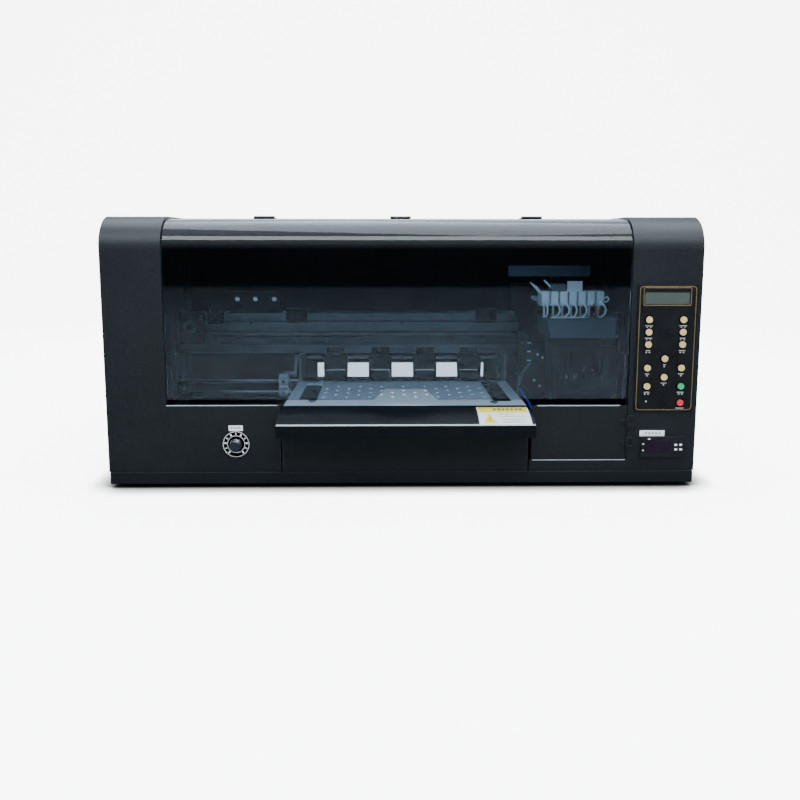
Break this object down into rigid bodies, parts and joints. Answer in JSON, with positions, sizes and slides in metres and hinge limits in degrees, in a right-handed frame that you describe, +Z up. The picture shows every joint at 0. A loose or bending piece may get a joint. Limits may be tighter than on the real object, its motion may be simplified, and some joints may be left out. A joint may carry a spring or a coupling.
{
  "type": "film-fed tabletop printer",
  "caption": "Wide tabletop printer: black sheet-metal body, smoked hinged cover, suction platen, heated front apron, pinch-roller feed, belt-driven carriage and push-button panel.",
  "frame": {"origin": "on the floor under the middle of the footprint", "axes": "+X to the operator's right, +Y to the back, +Z up"},
  "size_m": [0.955, 0.5516, 0.4415],
  "materials": {
    "powder_black": "fine textured black powder coat",
    "smoked_acrylic": "glossy smoked blue-grey acrylic sheet",
    "anodised_silver": "satin anodised",
    "bare_steel": "brushed",
    "chromed": "bright plated",
    "apron_black": "smooth semi-gloss black",
    "black_plastic": "fine matt moulding",
    "soft_black": "matt rubber",
    "belt_rubber": "ribbed black rubber",
    "carriage_grey": "smooth blue-grey paint",
    "carriage_black": "fine matt black",
    "frosted_white": "translucent white plastic",
    "panel_black": "printed film with gold lines",
    "button_gold": "gold plastic dome",
    "button_green": "green plastic dome",
    "button_red": "red plastic dome",
    "controller_case": "black moulding with a tinted window",
    "dial_ivory": "printed ivory plate",
    "knob_white": "bright knob",
    "circuit_green": "circuit board",
    "cap_cream": "moulded caps"
  },
  "bodies": {
    "chassis": {"base_tray": "powder_black", "rubber_feet": "soft_black", "left_housing": "powder_black", "right_housing": "powder_black", "rear_panel": "powder_black", "roof_panel": "powder_black", "front_center_panel": "powder_black", "frame_plates": "bare_steel", "bed_deck": "powder_black", "x_beam": "anodised_silver", "linear_rail": "bare_steel", "machine_screws": "bare_steel", "timing_belt": "belt_rubber", "stepper_motors": "black_plastic", "belt_brackets": "black_plastic", "side_rods": "chromed", "platen_plate": "anodised_silver", "vacuum_box": "bare_steel", "film_guides": "black_plastic", "heater_apron": "apron_black", "pinch_brackets": "black_plastic", "cap_station": "black_plastic", "slotted_partition": "powder_black", "control_panel": "panel_black", "temp_controller": "controller_case", "speed_dial": "dial_ivory", "power_supply": "bare_steel", "main_board": "circuit_green", "power_inlet": "black_plastic", "cover_hinges": "black_plastic"},
    "cover": {"front_cover": "smoked_acrylic", "cover_hinge_leaves": "black_plastic"},
    "door": {"service_door": "powder_black"},
    "carriage": {"rail_block": "bare_steel", "carriage_frame": "carriage_black", "carriage_cover": "carriage_grey", "damper_rack": "frosted_white", "print_heads": "black_plastic"},
    "motor_pulley": {"x_motor_pulley": "anodised_silver"},
    "idler": {"idler_pulley": "anodised_silver"},
    "feed": {"feed_roller": "bare_steel"},
    "pinch_lift": {"pinch_arms": "black_plastic", "lift_shaft": "chromed"},
    "pinch": {"pinch_rollers": "soft_black"},
    "caps": {"cap_tray": "cap_cream"},
    "knob": {"speed_knob": "knob_white"},
    "button_1_key": {"button_1": "button_gold"},
    "button_2_key": {"button_2": "button_gold"},
    "button_3_key": {"button_3": "button_gold"},
    "button_4_key": {"button_4": "button_gold"},
    "button_5_key": {"button_5": "button_gold"},
    "button_6_key": {"button_6": "button_gold"},
    "button_up_key": {"button_up": "button_gold"},
    "button_left_key": {"button_left": "button_gold"},
    "button_right_key": {"button_right": "button_gold"},
    "button_down_key": {"button_down": "button_gold"},
    "button_menu_key": {"button_menu": "button_gold"},
    "button_green_key": {"button_green": "button_green"},
    "button_red_key": {"button_red": "button_red"}
  },
  "joints": [
    {"name": "cover_hinge", "type": "hinge", "parent": "chassis", "child": "cover", "pos_m": [0, -0.07775, 0.4375], "axis": [-1, 0, 0], "range_deg": [0, 95]},
    {"name": "door_hinge", "type": "hinge", "parent": "chassis", "child": "door", "pos_m": [0.36525, -0.23055, 0.089], "axis": [0, 0, 1], "range_deg": [0, 100]},
    {"name": "carriage_slide", "type": "slide", "parent": "chassis", "child": "carriage", "axis": [-1, 0, 0], "range_m": [0, 0.59]},
    {"name": "motor_pulley_spin", "type": "hinge", "parent": "chassis", "child": "motor_pulley", "pos_m": [0.4025, 0.02725, 0.2355], "axis": [0, 1, 0], "range_deg": [0, 3539.8]},
    {"name": "idler_spin", "type": "hinge", "parent": "chassis", "child": "idler", "pos_m": [-0.4025, 0.02725, 0.2355], "axis": [0, 1, 0], "range_deg": [0, 3539.8]},
    {"name": "feed_spin", "type": "hinge", "parent": "chassis", "child": "feed", "pos_m": [0.004, 0.03725, 0.1202], "axis": [1, 0, 0], "continuous": true},
    {"name": "pinch_lift_hinge", "type": "hinge", "parent": "chassis", "child": "pinch_lift", "pos_m": [0.004, 0.05725, 0.172], "axis": [-1, 0, 0], "range_deg": [0, 10]},
    {"name": "pinch_spin", "type": "hinge", "parent": "pinch_lift", "child": "pinch", "pos_m": [0.004, 0.03725, 0.1395], "axis": [1, 0, 0], "continuous": true},
    {"name": "cap_slide", "type": "slide", "parent": "chassis", "child": "caps", "axis": [0, 0, -1], "range_m": [0, 0.008], "stiffness_N_per_m": 400, "springref_m": -0.005},
    {"name": "knob_turn", "type": "hinge", "parent": "chassis", "child": "knob", "pos_m": [-0.2705, -0.23575, 0.071], "axis": [0, 1, 0], "range_deg": [0, 280]},
    {"name": "button_1_press", "type": "slide", "parent": "chassis", "child": "button_1_key", "axis": [0, 1, 0], "range_m": [0, 0.0008], "stiffness_N_per_m": 400, "springref_m": -0.0005},
    {"name": "button_2_press", "type": "slide", "parent": "chassis", "child": "button_2_key", "axis": [0, 1, 0], "range_m": [0, 0.0008], "stiffness_N_per_m": 400, "springref_m": -0.0005},
    {"name": "button_3_press", "type": "slide", "parent": "chassis", "child": "button_3_key", "axis": [0, 1, 0], "range_m": [0, 0.0008], "stiffness_N_per_m": 400, "springref_m": -0.0005},
    {"name": "button_4_press", "type": "slide", "parent": "chassis", "child": "button_4_key", "axis": [0, 1, 0], "range_m": [0, 0.0008], "stiffness_N_per_m": 400, "springref_m": -0.0005},
    {"name": "button_5_press", "type": "slide", "parent": "chassis", "child": "button_5_key", "axis": [0, 1, 0], "range_m": [0, 0.0008], "stiffness_N_per_m": 400, "springref_m": -0.0005},
    {"name": "button_6_press", "type": "slide", "parent": "chassis", "child": "button_6_key", "axis": [0, 1, 0], "range_m": [0, 0.0008], "stiffness_N_per_m": 400, "springref_m": -0.0005},
    {"name": "button_up_press", "type": "slide", "parent": "chassis", "child": "button_up_key", "axis": [0, 1, 0], "range_m": [0, 0.0008], "stiffness_N_per_m": 400, "springref_m": -0.0005},
    {"name": "button_left_press", "type": "slide", "parent": "chassis", "child": "button_left_key", "axis": [0, 1, 0], "range_m": [0, 0.0008], "stiffness_N_per_m": 400, "springref_m": -0.0005},
    {"name": "button_right_press", "type": "slide", "parent": "chassis", "child": "button_right_key", "axis": [0, 1, 0], "range_m": [0, 0.0008], "stiffness_N_per_m": 400, "springref_m": -0.0005},
    {"name": "button_down_press", "type": "slide", "parent": "chassis", "child": "button_down_key", "axis": [0, 1, 0], "range_m": [0, 0.0008], "stiffness_N_per_m": 400, "springref_m": -0.0005},
    {"name": "button_menu_press", "type": "slide", "parent": "chassis", "child": "button_menu_key", "axis": [0, 1, 0], "range_m": [0, 0.0008], "stiffness_N_per_m": 400, "springref_m": -0.0005},
    {"name": "button_green_press", "type": "slide", "parent": "chassis", "child": "button_green_key", "axis": [0, 1, 0], "range_m": [0, 0.0008], "stiffness_N_per_m": 400, "springref_m": -0.0005},
    {"name": "button_red_press", "type": "slide", "parent": "chassis", "child": "button_red_key", "axis": [0, 1, 0], "range_m": [0, 0.0008], "stiffness_N_per_m": 400, "springref_m": -0.0005}
  ],
  "couplings": [
    {"joint": "motor_pulley_spin", "follows": "carriage_slide", "rad_per_m": 104.71},
    {"joint": "idler_spin", "follows": "carriage_slide", "rad_per_m": 104.71},
    {"joint": "pinch_spin", "follows": "feed_spin", "ratio": -0.9}
  ]
}
